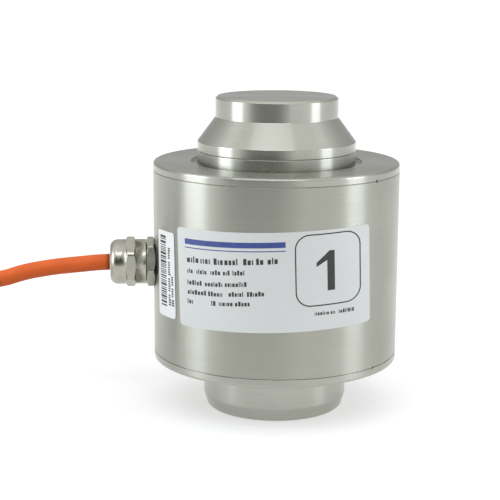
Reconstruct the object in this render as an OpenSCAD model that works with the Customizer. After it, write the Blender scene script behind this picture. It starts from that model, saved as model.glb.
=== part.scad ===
// Compression column load cell with a welded housing, a cable gland and its lead.
// Lengths are in millimetres. Z points up, the origin is the centre of the lower end face,
// the gland points along -X and the rating label faces -Y.

/* [Column] */
// Diameter of the upper load button
button_d = 50.4; // [40:0.2:56]
// Height of the button's straight side, with its chamfer
button_h = 8.4; // [6:0.1:14]
// Chamfer round the button's top edge
button_chamfer = 0.9; // [0.5:0.1:1.5]
// Height of the cone below the button
cone_h = 9.9; // [6:0.1:16]
// Diameter of the head flange and of the lid collar under it
flange_d = 65.2; // [63:0.2:72]
// Height of the head flange
flange_h = 3.9; // [2.5:0.1:8]
// Diameter of the spigot under the flange, which the upper lid is welded round
spigot_d = 60.2; // [56:0.2:61]
// Diameter of the lower load pin
pin_d = 59.8; // [54:0.2:60]
// Length of the column below the housing
pin_out = 20.8; // [12:0.2:30]
// Diameter of the seat above the lower pin, which the lower lid is welded round
foot_seat_d = 60.6; // [60.2:0.1:61]
// Length of that seat below the housing
foot_seat_out = 0.8; // [0.5:0.1:2]
// Height of the bevel at the foot of the lower pin
bevel_h = 5.4; // [2:0.1:8]
// Width of that bevel
bevel_w = 1.3; // [0.5:0.1:3]
// Corner break at the lower end face
foot_break = 0.7; // [0.3:0.1:1]
// Length of the thick column ends inside the housing
end_reach = 8; // [7:0.5:12]
// Diameter of the waist before its flats are milled
waist_d = 38; // [34:0.5:42]
// Radius between the waist and the thick ends
waist_fillet = 9; // [5:0.5:9]
// Distance across the four milled flats
flats_w = 31; // [28:0.5:33]
// Height of the flats
flats_h = 36; // [30:1:38]

/* [Housing] */
// Outer diameter of the housing
housing_d = 101.6; // [98:0.2:110]
// Height of the housing with both lids
housing_h = 82.6; // [78:0.2:100]
// Wall of the housing tube
wall = 6; // [5:0.5:7]
// Thickness of each lid
lid_t = 3.35; // [3:0.05:5]
// Rounding of each lid's outer edge
rim_round = 1.1; // [0.5:0.1:2]
// Height of the lid collar under the head flange
collar_h = 4.4; // [2:0.1:8]
// Depth of the lid's register inside the tube
register_h = 3; // [2:0.5:4]
// Width of that register
register_w = 3; // [2:0.5:4]
// Width of the flexing grooves in the lids
groove_w = 2.6; // [1.5:0.1:3]
// Depth of the flexing grooves
groove_depth = 1.2; // [0.6:0.1:1.4]
// Size of the bevel on both sides of each welded seam
seam = 0.3; // [0.1:0.05:0.5]
// Diameter of the pit that each weld ends in
pit_d = 1.4; // [0.8:0.1:2]
// Depth of that pit
pit_depth = 0.9; // [0.5:0.1:1.5]
// Direction of both pits, from +X
pit_at = 315; // [310:1:340]
// Radial clearance of the parts that slide together before welding
fit = 0.05; // [0.02:0.01:0.1]

/* [Gauges and board] */
// Height of a strain gauge
gauge_h = 12; // [8:0.5:16]
// Width of a strain gauge
gauge_w = 9; // [6:0.5:12]
// Thickness of a gauge's carrier film
gauge_t = 0.2; // [0.1:0.05:0.4]
// Thickness of a gauge's foil grid
grid_t = 0.1; // [0.05:0.05:0.2]
// Width of a ribbon lead
ribbon_w = 4; // [2:0.5:6]
// Thickness of a ribbon lead
ribbon_t = 0.3; // [0.2:0.05:0.5]
// Height of the board's seat above the housing's lower end
shelf_up = 19.2; // [18.5:0.1:22]
// Width of the shelf that carries the board
shelf_w = 5.8; // [5:0.1:7]
// Thickness of that shelf
shelf_t = 5; // [4.5:0.5:8]
// Thickness of the circuit board
board_t = 1.6; // [1:0.1:2.4]
// Bore of the circuit board
board_bore = 48; // [45:0.5:52]
// Gap between the board's edge and the tube
board_gap = 0.4; // [0.2:0.1:0.6]
// Thread diameter of the board screws
screw_d = 2.5; // [2:0.5:3]
// Length of a board screw under its head
screw_l = 5; // [4:0.5:5.5]
// Diameter of a screw head
head_d = 4.4; // [4:0.1:5]
// Height of a screw head
head_h = 1.6; // [1:0.1:2]
// Length of a trim resistor
chip_l = 3.2; // [2:0.1:4]
// Width of a trim resistor
chip_w = 1.6; // [1:0.1:2.5]
// Height of a trim resistor
chip_h = 0.7; // [0.4:0.1:1.2]
// Diameter of a solder pin
solder_pin_d = 1; // [0.8:0.1:1.4]
// Height of a solder pin
solder_pin_h = 3; // [2:0.5:5]

/* [Gland] */
// Height of the gland's axis above the housing's lower end
gland_up = 40.6; // [38:0.2:46]
// Depth of the flat seat milled into the housing for the gland
seat_depth = 1.5; // [1.3:0.1:2]
// Diameter of that seat
seat_d = 22.4; // [22:0.2:24]
// Diameter of the thread in the housing wall
thread_d = 16; // [14:0.5:17]
// Length of that thread
thread_l = 5.5; // [5:0.5:8]
// Outer diameter of the sealing ring
ring_d = 18.8; // [18:0.1:20]
// Thickness of the sealing ring
ring_t = 1.1; // [0.8:0.1:2]
// Width across the flats of both hexagons
hex_w = 18; // [17.5:0.1:19]
// Height of the body's hexagon
hex_h = 3.5; // [2.5:0.1:6]
// Turn of the body's hexagon from the nut's
hex_turn = 18; // [0:1:30]
// Diameter of the cap nut's skirt and nose
nut_d = 18.6; // [17.6:0.1:19]
// Length of the cap nut's skirt
skirt_l = 4.4; // [3:0.1:7]
// Length of the cap nut's hexagon collar
nut_hex_h = 3.8; // [3:0.1:6]
// Length of the cap nut's nose
nose_l = 6.7; // [5.5:0.1:9]
// Rounding of the nose
nose_round = 3.3; // [2:0.1:3.5]
// Gap between the body's hexagon and the nut
nut_gap = 0.15; // [0.1:0.05:0.5]
// Diameter of the body's thread inside the nut
nut_thread_d = 15.2; // [14.6:0.1:15.6]
// Outer diameter of the clamp claw
claw_d = 12.2; // [11.4:0.1:12.4]
// Wall of the clamp claw
claw_wall = 1.2; // [0.8:0.1:1.4]
// Width of the slots between the claw's fingers
slot_w = 0.8; // [0.5:0.1:1.2]
// Length of the claw's root, below the slots
claw_root = 2.2; // [1.5:0.1:3]
// Length of the taper at the fingertips
taper_l = 1.5; // [1:0.1:2]
// Width of that taper
taper_w = 0.7; // [0.4:0.1:0.9]
// Clearance of the claw and seal in the gland
gland_fit = 0.05; // [0.02:0.01:0.1]

/* [Cable] */
// Outer diameter of the cable
cord_d = 6.8; // [6:0.1:7]
// Diameter of an insulated core
core_d = 1.3; // [1:0.1:1.6]
// Length of jacketed cable inside the housing, from the gland's seat
jacket_in = 9; // [7:0.5:10]
// Diameter of the stored coil at the middle of its turns
coil_d = 98; // [92:0.5:110]
// Distance between neighbouring turns
turn_pitch = 7; // [7:0.1:7.4]
// Turns side by side in the coil
coil_rows = 4; // [3:1:4]
// Layers of turns on each other
coil_layers = 8; // [6:2:10]
// Width of a tie round the coil
tie_w = 8; // [4:0.5:8]
// Thickness of a tie
tie_t = 1; // [0.8:0.1:1.5]
// Length of the bare cores at the cable's far end
lead_l = 32; // [20:1:33]

/* [Labels] */
// Width of the rating label, measured straight across
label_w = 75.4; // [60:0.2:76]
// Height of the rating label
label_h = 39.5; // [30:0.5:44]
// Gap between the code label and the rating label
label_gap = 2.5; // [1:0.1:6]
// Height of the rating label's centre above the housing's lower end
label_up = 42.2; // [38:0.2:46]
// Slant of both labels
label_tilt = 1.8; // [0:0.1:3]
// Width of the code label, measured straight across
code_w = 14.4; // [10:0.2:16]
// Height of the code label
code_h = 35; // [25:0.5:40]
// Gap between the gland's seat and the code label
code_gap = 2.9; // [1:0.1:3.5]
// Height of the code label's centre above the housing's lower end
code_up = 39.8; // [36:0.2:44]
// Corner rounding of both labels
label_round = 1.5; // [0.5:0.1:3]
// Thickness of both labels
label_t = 0.15; // [0.1:0.05:0.3]
// Thickness of the glue under them
glue_t = 0.05; // [0.05:0.05:0.1]

/* [Hidden] */
$fn = 96;
// A small overshoot that keeps cuts open
eps = 0.1;

// Heights of the stack, from the lower end face up
tube_z0 = pin_out + lid_t;
housing_z1 = pin_out + housing_h;
tube_z1 = housing_z1 - lid_t;
collar_z1 = housing_z1 + collar_h;
flange_z1 = collar_z1 + flange_h;
cone_z1 = flange_z1 + cone_h;
column_h = cone_z1 + button_h;
lower_end_z = pin_out + end_reach;
upper_end_z = housing_z1 - end_reach;
waist_mid_z = (lower_end_z + upper_end_z) / 2;
flats_z0 = waist_mid_z - flats_h / 2;
tube_bore = housing_d - 2 * wall;

// Board and shelf
shelf_z = pin_out + shelf_up;
board_top = shelf_z + board_t;
board_d = tube_bore - 2 * board_gap;
screw_r = tube_bore / 2 - shelf_w / 2;
screw_angles = [0, 120, 240];
chip_angles = [40, 62, 84, 276, 298, 320];
chip_r = (board_bore + board_d) / 4;
pin_angles = [171, 177, 183, 189];
pin_gap = 3;
pin_r = board_bore / 2 + ribbon_w + pin_gap;

// Labels, one after the other round the housing from the gland
function half_angle(w) = asin(w / housing_d);
function gap_angle(gap) = 2 * gap / housing_d * 180 / PI;
code_at = 180 + half_angle(seat_d) + gap_angle(code_gap) + half_angle(code_w);
label_at = code_at + half_angle(code_w) + gap_angle(label_gap) + half_angle(label_w);

// Gland, along its own axis from the seat outwards
seat_x = housing_d / 2 - seat_depth;
gland_z = pin_out + gland_up;
hex_z0 = ring_t;
hex_z1 = hex_z0 + hex_h;
nut_z0 = hex_z1 + nut_gap;
nut_hex_z0 = nut_z0 + skirt_l;
nose_z0 = nut_hex_z0 + nut_hex_h;
nose_z1 = nose_z0 + nose_l;
hex_r = hex_w / 2 / cos(30);
// Claw and seal sit on a floor in the body, and the nut's mouth closes over them
insert_floor = 2.4;
mouth_h = 4.2;
insert_z0 = hex_z1 + insert_floor;
insert_z1 = nose_z1 - mouth_h;
claw_out = 2;
seal_out = 1;
bore_gap = 0.1;
cable_exit_x = seat_x + nose_z1;

// Stored coil. The lead runs onto the outer turn of its top layer at this place and angle.
run_in = [-142.6, -17.3];
run_in_a = -30;
coil_z0 = tie_t;
coil_w = (coil_rows - 1) * turn_pitch + cord_d;
coil_h = (coil_layers - 1) * turn_pitch + cord_d;
coil_in_r = coil_d / 2 - coil_w / 2;
coil_out_r = coil_d / 2 + coil_w / 2;
turn_r = coil_out_r - cord_d / 2;
coil_x = run_in[0] - turn_r * cos(run_in_a);
coil_y = run_in[1] - turn_r * sin(run_in_a);
// Room where the lead comes beside its outer turn, and room that the last turn leaves for the bare cores
run_in_sweep = 24;
tail_sweep = 45;
// Room round the coil inside its ties
tie_gap = 0.3;
tie_angles = [45, 140, 235];

// The lead's route from the gland to the coil
cable_route = concat([[-cable_exit_x, 0, gland_z]], [
    [-75, 0, 61.1], [-79.5, 0, 60.7], [-84, 0, 60.3], [-88.5, 0, 59.9], [-93, 0, 59.4], [-97.5, 0, 58.7],
    [-102, 0, 57.9], [-106.5, 0, 56.8], [-111, 0, 55.4], [-115.5, -0.1, 54.5], [-120, -0.8, 53.7],
    [-125.6, -2.5, 53.3], [-130.9, -5.3, 53.2], [-135.8, -8.9, 53.3], [-139.5, -12.8, 53.4]],
    [[run_in[0], run_in[1], coil_z0 + coil_h - cord_d / 2]]);
cable_sides = 12;
core_sides = 8;
core_steps = 10;
core_spread = 0.6 * core_d;
core_bend = 9;
// The solder pin that each core goes to, so that no two cores cross
core_pins = [0, 3, 1, 2];

// Straight from the jacket's end inside the housing, then down onto a solder pin
function core_start(i) = [-seat_x + jacket_in, (i % 2 == 0 ? 1 : -1) * core_spread,
    gland_z + (i < 2 ? 1 : -1) * core_spread];
function core_end(i) = let(a = pin_angles[core_pins[i]])
    [pin_r * cos(a), pin_r * sin(a), board_top + solder_pin_h];
function bezier(a, b, c, d, t) =
    a * (1 - t) ^ 3 + b * 3 * t * (1 - t) ^ 2 + c * 3 * t ^ 2 * (1 - t) + d * t ^ 3;
function core_route(i) = let(a = core_start(i), d = core_end(i))
    [for (k = [0:core_steps])
        bezier(a, a + [core_bend, 0, 0], d + [0, 0, core_bend], d, k / core_steps)];

// Direction of a route at point i, with its ends given, and a ring of points square to it
function unit(v) = v / norm(v);
function along(p, i, first, last) = i == 0 ? first : i == len(p) - 1 ? last
    : unit(unit(p[i] - p[i - 1]) + unit(p[i + 1] - p[i]));
function ring(c, t, r, sides) = let(s = unit(cross(t, [0, 1, 0])), u = cross(s, t))
    [for (k = [0:sides - 1]) let(a = 360 * k / sides) c + r * (s * cos(a) + u * sin(a))];

// A tube along a route: one closed skin through the rings
module tube(p, d, sides, first, last) {
    n = len(p);
    points = [for (i = [0:n - 1]) each ring(p[i], along(p, i, first, last), d / 2, sides)];
    walls = [for (i = [0:n - 2], k = [0:sides - 1]) let(a = i * sides, m = (k + 1) % sides)
        each [[a + k, a + m, a + m + sides], [a + k, a + m + sides, a + k + sides]]];
    caps = [[for (k = [sides - 1:-1:0]) k], [for (k = [0:sides - 1]) (n - 1) * sides + k]];
    polyhedron(points, concat(walls, caps), convexity = 4);
}

// A flat strip of thickness t through points in the plane of radius and height
function strip_side(p, i) = let(
    a = unit(p[max(i, 1)] - p[max(i, 1) - 1]), b = unit(p[min(i, len(p) - 2) + 1] - p[min(i, len(p) - 2)]),
    m = unit(a + b)) [-m[1], m[0]] / (a * m);
module strip(p, t, w) {
    n = len(p);
    rotate([90, 0, 0]) translate([0, 0, -w / 2]) linear_extrude(w)
        polygon(concat([for (i = [0:n - 1]) p[i]],
            [for (i = [n - 1:-1:0]) p[i] + t * strip_side(p, i)]));
}

module at_gland() {
    translate([-seat_x, 0, gland_z]) rotate([0, -90, 0]) children();
}

// Pit at the end of a welded seam, at height z on the housing
module weld_pit(z) {
    rotate(pit_at) translate([housing_d / 2 - pit_depth, 0, z]) rotate([0, 90, 0])
        cylinder(d = pit_d, h = pit_depth + eps);
}

// Half section of the column: foot, thick lower end, waist with its radii, thick upper end and head
module column_section() {
    polygon([[0, 0], [pin_d / 2 - bevel_w - foot_break, 0], [pin_d / 2 - bevel_w, foot_break],
        [pin_d / 2, bevel_h], [pin_d / 2, pin_out - foot_seat_out], [foot_seat_d / 2, pin_out - foot_seat_out],
        [foot_seat_d / 2, lower_end_z], [0, lower_end_z]]);
    translate([0, lower_end_z]) difference() {
        square([waist_d / 2 + waist_fillet, waist_fillet]);
        translate([waist_d / 2 + waist_fillet, waist_fillet]) circle(waist_fillet);
    }
    translate([0, lower_end_z]) square([waist_d / 2, upper_end_z - lower_end_z]);
    translate([0, upper_end_z - waist_fillet]) difference() {
        square([waist_d / 2 + waist_fillet, waist_fillet]);
        translate([waist_d / 2 + waist_fillet, 0]) circle(waist_fillet);
    }
    polygon([[0, upper_end_z], [spigot_d / 2, upper_end_z], [spigot_d / 2, collar_z1],
        [flange_d / 2, collar_z1], [flange_d / 2, flange_z1], [button_d / 2, cone_z1],
        [button_d / 2, column_h - button_chamfer], [button_d / 2 - button_chamfer, column_h], [0, column_h]]);
}

module sensing_column() {
    color("silver") difference() {
        rotate_extrude() column_section();
        for (a = [0:90:270]) rotate(a)
            translate([flats_w / 2, -waist_d / 2, flats_z0]) cube([waist_d, waist_d, flats_h]);
    }
}

module housing_tube() {
    color("silver") difference() {
        rotate_extrude() {
            polygon([[tube_bore / 2, tube_z0], [housing_d / 2 - seam, tube_z0], [housing_d / 2, tube_z0 + seam],
                [housing_d / 2, tube_z1 - seam], [housing_d / 2 - seam, tube_z1], [tube_bore / 2, tube_z1]]);
            // Shelf for the circuit board
            translate([tube_bore / 2 - shelf_w, shelf_z - shelf_t]) square([shelf_w + wall / 2, shelf_t]);
        }
        at_gland() cylinder(d = seat_d, h = housing_d);
        at_gland() translate([0, 0, -wall * 2]) cylinder(d = thread_d + 2 * fit, h = wall * 3);
        for (a = screw_angles) rotate(a) translate([screw_r, 0, board_top - screw_l - eps])
            cylinder(d = screw_d + 2 * fit, h = screw_l + eps);
        weld_pit(tube_z0);
        weld_pit(tube_z1);
    }
}

// Half section of a lid, outside face up at z 0: plate, rounded rim, register and flexing grooves
module lid_section(bore) {
    register_r = tube_bore / 2 - fit;
    difference() {
        union() {
            translate([bore / 2, -lid_t]) square([housing_d / 2 - rim_round - bore / 2, lid_t]);
            translate([bore / 2, -lid_t + seam]) square([(housing_d - bore) / 2, lid_t - seam - rim_round]);
            polygon([[bore / 2, -lid_t], [housing_d / 2 - seam, -lid_t], [housing_d / 2, -lid_t + seam],
                [bore / 2, -lid_t + seam]]);
            translate([housing_d / 2 - rim_round, -rim_round]) circle(rim_round);
            translate([register_r - register_w, -lid_t - register_h]) square([register_w, register_h + eps]);
        }
        translate([flange_d / 2, -groove_depth]) square([groove_w, groove_depth + eps]);
        translate([flange_d / 2 + 2 * groove_w, -lid_t - eps]) square([groove_w, groove_depth + eps]);
    }
}

module upper_lid() {
    color("silver") difference() {
        translate([0, 0, housing_z1]) rotate_extrude() {
            lid_section(spigot_d + 2 * fit);
            translate([spigot_d / 2 + fit, -eps]) square([(flange_d - spigot_d) / 2 - fit, collar_h + eps]);
        }
        weld_pit(tube_z1);
    }
}

module lower_lid() {
    color("silver") difference() {
        translate([0, 0, pin_out]) mirror([0, 0, 1]) rotate_extrude() lid_section(foot_seat_d + 2 * fit);
        weld_pit(tube_z0);
    }
}

// A film on the housing: the part of a thin shell that a rounded rectangle covers
module film(at, z, w, h, tilt) {
    intersection() {
        translate([0, 0, z - h]) difference() {
            cylinder(d = housing_d + 2 * (glue_t + label_t), h = 2 * h);
            translate([0, 0, -eps]) cylinder(d = housing_d + 2 * glue_t, h = 2 * h + 2 * eps);
        }
        rotate(at) translate([0, 0, z]) rotate([90, 0, 90]) linear_extrude(housing_d) rotate(tilt) {
            square([w - 2 * label_round, h], center = true);
            square([w, h - 2 * label_round], center = true);
            for (x = [-1, 1], y = [-1, 1])
                translate([x * (w / 2 - label_round), y * (h / 2 - label_round)]) circle(label_round);
        }
    }
}

module rating_label() {
    color("whitesmoke") film(label_at, pin_out + label_up, label_w, label_h, label_tilt);
}

module code_label() {
    color("white") film(code_at, pin_out + code_up, code_w, code_h, label_tilt);
}

// Strain gauge on the flat that faces angle a: carrier film with its foil grid
module gauge(a) {
    grid_w = gauge_w * 2 / 3;
    grid_h = gauge_h / 2;
    color("goldenrod") rotate(a) translate([flats_w / 2, 0, waist_mid_z]) {
        translate([0, -gauge_w / 2, -gauge_h / 2]) cube([gauge_t, gauge_w, gauge_h]);
        translate([0, -grid_w / 2, -grid_h / 2]) cube([gauge_t + grid_t, grid_w, grid_h]);
    }
}

// Ribbon lead from a gauge down its flat, over the end of the flat and onto the board
module ribbon(a) {
    flat_r = flats_w / 2;
    step_r = waist_d / 2 + ribbon_t;
    land_r = board_bore / 2;
    color("orange") rotate(a)
        strip([[flat_r, waist_mid_z - gauge_h / 2], [flat_r, flats_z0 + ribbon_w],
            [step_r, flats_z0 - ribbon_t], [land_r, board_top], [land_r + ribbon_w, board_top]],
            ribbon_t, ribbon_w);
}

module circuit_board() {
    color("seagreen") translate([0, 0, shelf_z]) difference() {
        cylinder(d = board_d, h = board_t);
        translate([0, 0, -eps]) cylinder(d = board_bore, h = board_t + 2 * eps);
        for (a = screw_angles) rotate(a) translate([screw_r, 0, -eps])
            cylinder(d = screw_d + 4 * fit, h = board_t + 2 * eps);
    }
}

module board_screws() {
    color("gainsboro") for (a = screw_angles) rotate(a) translate([screw_r, 0, board_top]) {
        cylinder(d = head_d, h = head_h);
        translate([0, 0, -screw_l]) cylinder(d = screw_d, h = screw_l + eps);
    }
}

module trim_resistors() {
    color("dimgray") for (a = chip_angles) rotate(a)
        translate([chip_r - chip_w / 2, -chip_l / 2, board_top]) cube([chip_w, chip_l, chip_h]);
}

module solder_pins() {
    color("gold") for (a = pin_angles) rotate(a) translate([pin_r, 0, board_top]) {
        cylinder(d = solder_pin_d, h = solder_pin_h);
        cylinder(d1 = 2 * solder_pin_d, d2 = solder_pin_d * 0.9, h = solder_pin_d);
    }
}

module core(i) {
    tube(core_route(i), core_d, core_sides, [1, 0, 0], [0, 0, -1]);
}

// Hexagon whose corners are turned off at both ends
module turned_hexagon(h) {
    face_r = hex_w / 2 * 1.01;
    cut_h = (hex_r - face_r) * tan(30);
    intersection() {
        cylinder(r = hex_r, h = h, $fn = 6);
        rotate_extrude()
            polygon([[0, 0], [face_r, 0], [hex_r, cut_h], [hex_r, h - cut_h], [face_r, h], [0, h]]);
    }
}

module gland_body() {
    color("darkkhaki") at_gland() difference() {
        union() {
            translate([0, 0, -thread_l]) cylinder(d = thread_d, h = thread_l + hex_z0 + eps);
            translate([0, 0, hex_z0]) rotate(hex_turn) turned_hexagon(hex_h);
            translate([0, 0, hex_z1 - eps]) cylinder(d = nut_thread_d, h = insert_z1 - hex_z1 - claw_out + eps);
        }
        translate([0, 0, -thread_l - eps]) cylinder(d = cord_d + 2 * bore_gap, h = nose_z1 + thread_l);
        translate([0, 0, insert_z0]) cylinder(d = claw_d + 2 * gland_fit, h = nose_z1);
    }
}

// Sealing ring with a rounded outer edge, pressed between the hexagon and the seat
module gland_ring() {
    color("black") at_gland() rotate_extrude() {
        translate([thread_d / 2 + fit, 0]) square([(ring_d - thread_d - ring_t) / 2 - fit, ring_t]);
        translate([(ring_d - ring_t) / 2, ring_t / 2]) circle(d = ring_t);
    }
}

// Clamp claw: a sleeve cut into eight fingers, with a tapered end for the nut's cone
module gland_claw() {
    color("dimgray") at_gland() difference() {
        rotate_extrude() polygon([[claw_d / 2 - claw_wall, insert_z0], [claw_d / 2, insert_z0],
            [claw_d / 2, insert_z1 - taper_l], [claw_d / 2 - taper_w, insert_z1],
            [claw_d / 2 - claw_wall, insert_z1]]);
        for (a = [0:45:135]) rotate(a)
            translate([-claw_d, -slot_w / 2, insert_z0 + claw_root]) cube([2 * claw_d, slot_w, nose_z1]);
    }
}

module gland_seal() {
    color("black") at_gland() rotate_extrude()
        translate([cord_d / 2, insert_z0])
            square([claw_d / 2 - claw_wall - gland_fit - cord_d / 2, insert_z1 - insert_z0 + seal_out]);
}

// Cap nut: skirt, hexagon collar and rounded nose, threaded inside and coned down to the mouth
module gland_nut() {
    mouth_r = claw_d / 2 - claw_wall + gland_fit;
    bore_r = nut_thread_d / 2 + gland_fit;
    cone_r = claw_d / 2 + gland_fit;
    color("darkkhaki") at_gland() difference() {
        union() {
            translate([0, 0, nut_z0]) cylinder(d = nut_d, h = nose_z0 - nut_z0);
            translate([0, 0, nut_hex_z0]) turned_hexagon(nut_hex_h);
            rotate_extrude() {
                translate([0, nose_z0 - eps]) square([nut_d / 2, nose_l - nose_round + eps]);
                translate([0, nose_z0 - eps]) square([nut_d / 2 - nose_round, nose_l + eps]);
                translate([nut_d / 2 - nose_round, nose_z1 - nose_round]) circle(nose_round);
            }
        }
        rotate_extrude() polygon([[0, nut_z0 - eps], [bore_r, nut_z0 - eps], [bore_r, insert_z1 - taper_l],
            [cone_r, insert_z1 - taper_l], [cone_r - taper_w, insert_z1], [mouth_r, insert_z1],
            [mouth_r, nose_z1 + eps], [0, nose_z1 + eps]]);
    }
}

module cable_inlet() {
    color("orangered") at_gland() translate([0, 0, -jacket_in]) cylinder(d = cord_d, h = jacket_in + nose_z1);
}

module cable() {
    color("orangered") tube(cable_route, cord_d, cable_sides, [-1, 0, 0], [sin(run_in_a), -cos(run_in_a), 0]);
}

// The room of one turn at the coil's outer side, over a sweep from angle a and from height z
module turn_room(a, sweep, z) {
    rotate(a) translate([0, 0, z]) rotate_extrude(angle = sweep)
        translate([coil_out_r - turn_pitch, 0]) square(turn_pitch + eps);
}

// Outer shape of the coil: a ring with rounded edges, open where the lead runs in and where it ends
module cable_coil() {
    color("orangered") translate([coil_x, coil_y, coil_z0]) difference() {
        rotate_extrude() translate([coil_d / 2, coil_h / 2]) {
            square([coil_w, coil_h - cord_d], center = true);
            square([coil_w - cord_d, coil_h], center = true);
            for (x = [-1, 1], z = [-1, 1])
                translate([x * (coil_w - cord_d), z * (coil_h - cord_d)] / 2) circle(d = cord_d);
        }
        turn_room(run_in_a, run_in_sweep, coil_h - turn_pitch);
        turn_room(run_in_a - tail_sweep, tail_sweep, -eps);
    }
}

// Straps round the coil's section
module coil_ties() {
    room = [coil_w + 2 * tie_gap, coil_h];
    color("black") translate([coil_x, coil_y, 0]) for (a = tie_angles) rotate(a)
        translate([coil_d / 2, 0, coil_z0 + coil_h / 2]) rotate([90, 0, 0]) difference() {
            translate([0, 0, -tie_w / 2]) linear_extrude(tie_w)
                square(room + [2 * tie_t, 2 * tie_t], center = true);
            translate([0, 0, -tie_w]) linear_extrude(2 * tie_w) square(room, center = true);
        }
}

// Four bare cores from the jacket's cut end, under the coil's outer side
module flying_leads() {
    step = turn_pitch / 4;
    color("white") translate([coil_x, coil_y, coil_z0]) for (i = [0:3]) {
        r = coil_out_r - step * (i + 0.5);
        rotate(run_in_a) rotate_extrude(angle = -lead_l / r * 180 / PI)
            translate([r, core_d / 2]) circle(d = core_d);
    }
}

sensing_column();
housing_tube();
upper_lid();
lower_lid();
rating_label();
code_label();
gauge(270);  // gauge_front
gauge(0);  // gauge_right
gauge(90);  // gauge_back
gauge(180);  // gauge_left
ribbon(270);  // ribbon_front
ribbon(0);  // ribbon_right
ribbon(90);  // ribbon_back
ribbon(180);  // ribbon_left
circuit_board();
board_screws();
trim_resistors();
solder_pins();
color("red") core(0);  // core_red
color("black") core(1);  // core_black
color("green") core(2);  // core_green
color("white") core(3);  // core_white
gland_body();
gland_ring();
gland_claw();
gland_seal();
gland_nut();
cable_inlet();
cable();
cable_coil();
coil_ties();
flying_leads();
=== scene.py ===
import math

import bpy
import numpy as np
from mathutils import Matrix, Vector


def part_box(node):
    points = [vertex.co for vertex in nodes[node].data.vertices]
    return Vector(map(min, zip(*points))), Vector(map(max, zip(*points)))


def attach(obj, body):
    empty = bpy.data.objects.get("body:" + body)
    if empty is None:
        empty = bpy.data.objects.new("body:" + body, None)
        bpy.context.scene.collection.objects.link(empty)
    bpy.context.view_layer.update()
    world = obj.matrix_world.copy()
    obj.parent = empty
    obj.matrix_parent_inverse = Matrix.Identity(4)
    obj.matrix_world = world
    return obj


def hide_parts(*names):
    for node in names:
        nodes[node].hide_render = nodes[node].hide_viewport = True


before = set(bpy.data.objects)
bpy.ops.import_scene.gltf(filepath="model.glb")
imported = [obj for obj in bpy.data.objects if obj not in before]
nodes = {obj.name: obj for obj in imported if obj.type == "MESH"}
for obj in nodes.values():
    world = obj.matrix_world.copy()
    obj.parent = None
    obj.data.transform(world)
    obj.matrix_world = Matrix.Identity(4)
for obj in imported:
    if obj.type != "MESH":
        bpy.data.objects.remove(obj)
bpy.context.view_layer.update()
mm = 0.001

# Small tools


def linear(hexColour):  # sRGB hex to the linear colour that the shaders take
    parts = [int(hexColour[i:i + 2], 16) / 255 for i in (1, 3, 5)]
    return tuple(c / 12.92 if c <= 0.04045 else ((c + 0.055) / 1.055) ** 2.4 for c in parts) + (1.0,)


def addNode(tree, kind, settings=None, **links):
    # settings are the node's own options. links are its sockets by name, with _ for a space, or i0, i1 by place,
    # and each is a value or another node's output. A colour mix has its two colours at i6 and i7.
    node = tree.nodes.new(kind)
    for key, value in (settings or {}).items():
        setattr(node, key, value)
    for key, value in links.items():
        socket = node.inputs[int(key[1:])] if key[1:].isdigit() else node.inputs[key.replace("_", " ")]
        if isinstance(value, bpy.types.NodeSocket):
            tree.links.new(value, socket)
        else:
            socket.default_value = value
    return node


def newMaterial(name):
    material = bpy.data.materials.new(name)
    material.use_nodes = True
    tree = material.node_tree
    tree.nodes.clear()
    shader = addNode(tree, "ShaderNodeBsdfPrincipled")
    addNode(tree, "ShaderNodeOutputMaterial", i0=shader.outputs[0])
    return material, tree, shader, addNode(tree, "ShaderNodeTexCoord").outputs["Object"]


def shade(colour, factor):
    return tuple(min(1.0, c * factor) for c in colour[:3]) + (1.0,)


def gridMesh(name, points, material, closeU=True, closeV=False, caps=False):
    # points[u, v] are places in mm. Each cell of the grid is one quad, and caps closes both ends of v.
    nu, nv = points.shape[:2]
    gu, gv = np.meshgrid(np.arange(nu if closeU else nu - 1), np.arange(nv if closeV else nv - 1), indexing="ij")
    un, vn = (gu + 1) % nu, (gv + 1) % nv
    faces = np.stack([gu * nv + gv, un * nv + gv, un * nv + vn, gu * nv + vn], -1).reshape(-1, 4).tolist()
    if caps:
        faces += [(np.arange(nu)[::-1] * nv).tolist(), (np.arange(nu) * nv + nv - 1).tolist()]
    return meshOf(name, points.reshape(-1, 3), faces, material)


def meshOf(name, points, faces, material, smooth=True):
    mesh = bpy.data.meshes.new(name)
    mesh.from_pydata(points * mm, [], faces)
    mesh.update()
    if smooth:
        mesh.shade_smooth()
    piece = bpy.data.objects.new(name, mesh)
    bpy.context.scene.collection.objects.link(piece)
    mesh.materials.append(material)
    return piece


def roundedProfile(corners, support=0.12, most=0.8):
    # corners are (r, z, rounding). Each becomes an arc that touches both sides, with one more point
    # just beyond each end of the arc, so that the flats beside it stay flat in the shading.
    # An arc takes at most that share of the side that it rounds into.
    points = []
    for i, (r, z, rounding) in enumerate(corners):
        here = np.array([r, z], float)
        a = np.array(corners[i - 1][:2], float) - here
        b = np.array(corners[(i + 1) % len(corners)][:2], float) - here
        lengthA, lengthB = np.linalg.norm(a), np.linalg.norm(b)
        if rounding == 0:
            points.append(here)
            continue
        a, b = a / lengthA, b / lengthB
        half = math.acos(max(-1.0, min(1.0, float(a @ b)))) / 2
        cut = min(rounding / math.tan(half), most * lengthA, most * lengthB)
        radius = cut * math.tan(half)
        centre = here + (a + b) / np.linalg.norm(a + b) * radius / math.sin(half)
        start, end = here + a * cut, here + b * cut
        first = math.atan2(*(start - centre)[::-1])
        sweep = (math.atan2(*(end - centre)[::-1]) - first + math.pi) % (2 * math.pi) - math.pi
        if lengthA > cut + 2 * support:
            points.append(start + a * support)
        steps = 4 + int(1.5 * radius)
        turns = first + sweep * np.arange(steps + 1) / steps
        points += list(centre + radius * np.stack([np.cos(turns), np.sin(turns)], -1))
        if lengthB > cut + 2 * support:
            points.append(end + b * support)
    return np.array(points)


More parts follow.
